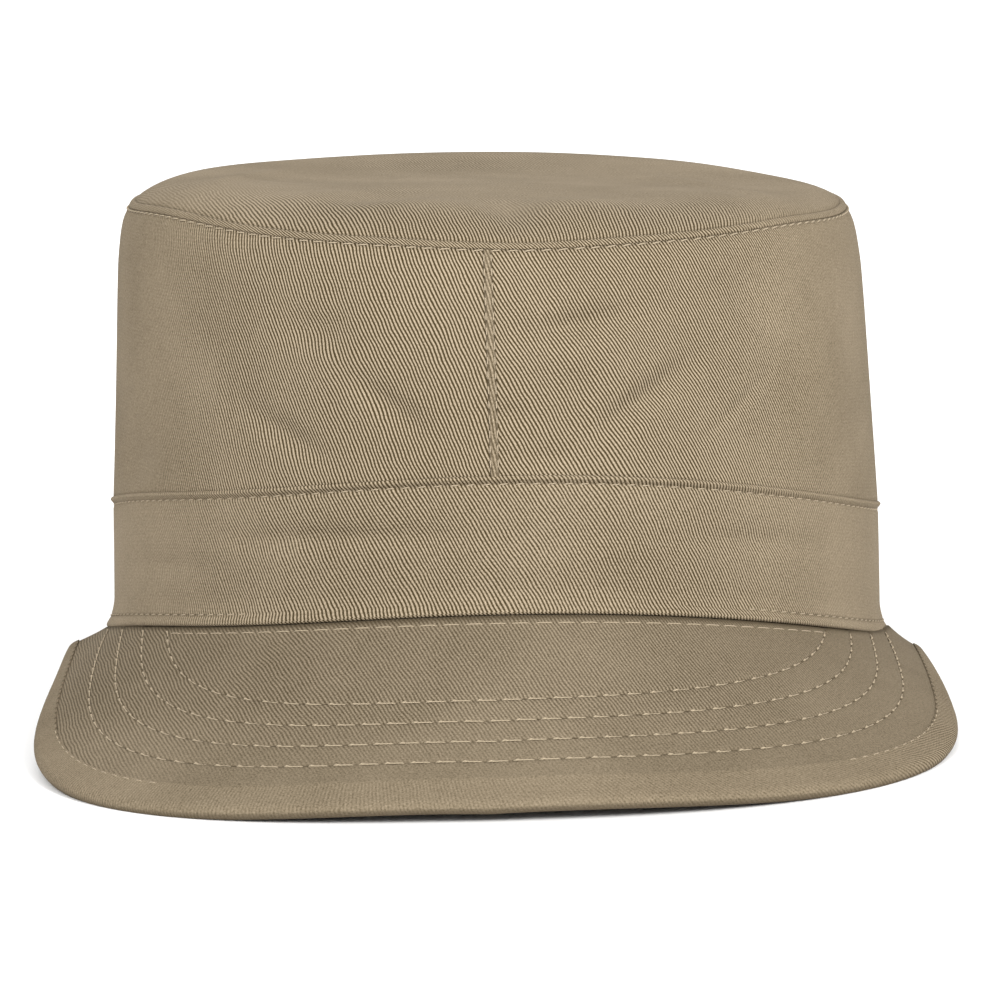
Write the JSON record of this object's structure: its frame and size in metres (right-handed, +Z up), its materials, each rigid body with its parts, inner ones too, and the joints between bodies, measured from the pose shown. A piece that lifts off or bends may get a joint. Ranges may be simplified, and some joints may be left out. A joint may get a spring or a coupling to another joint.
{
  "type": "fatigue cap",
  "caption": "Khaki twill fatigue cap: flat-topped crown of two side panels and an oval top, a band round the base and a short curved stitched visor.",
  "frame": {"origin": "middle of the bounding box on the surface that the cap stands on", "axes": "+Z up, the visor points along -Y, +X to the right of a viewer who faces the visor"},
  "size_m": [0.1928, 0.2518, 0.1143],
  "materials": {
    "crown_twill": "khaki cotton twill, soft and matt",
    "band_twill": "khaki cotton twill, soft and matt",
    "visor_twill": "khaki cotton twill, pressed smooth over a firm visor",
    "binding_twill": "khaki cotton twill cut on the bias"
  },
  "bodies": {
    "root": {"crown_top": "crown_twill", "side_panel_left": "crown_twill", "side_panel_right": "crown_twill", "band": "band_twill", "visor_upper": "visor_twill", "visor_under": "visor_twill", "visor_binding": "binding_twill"}
  },
  "joints": []
}
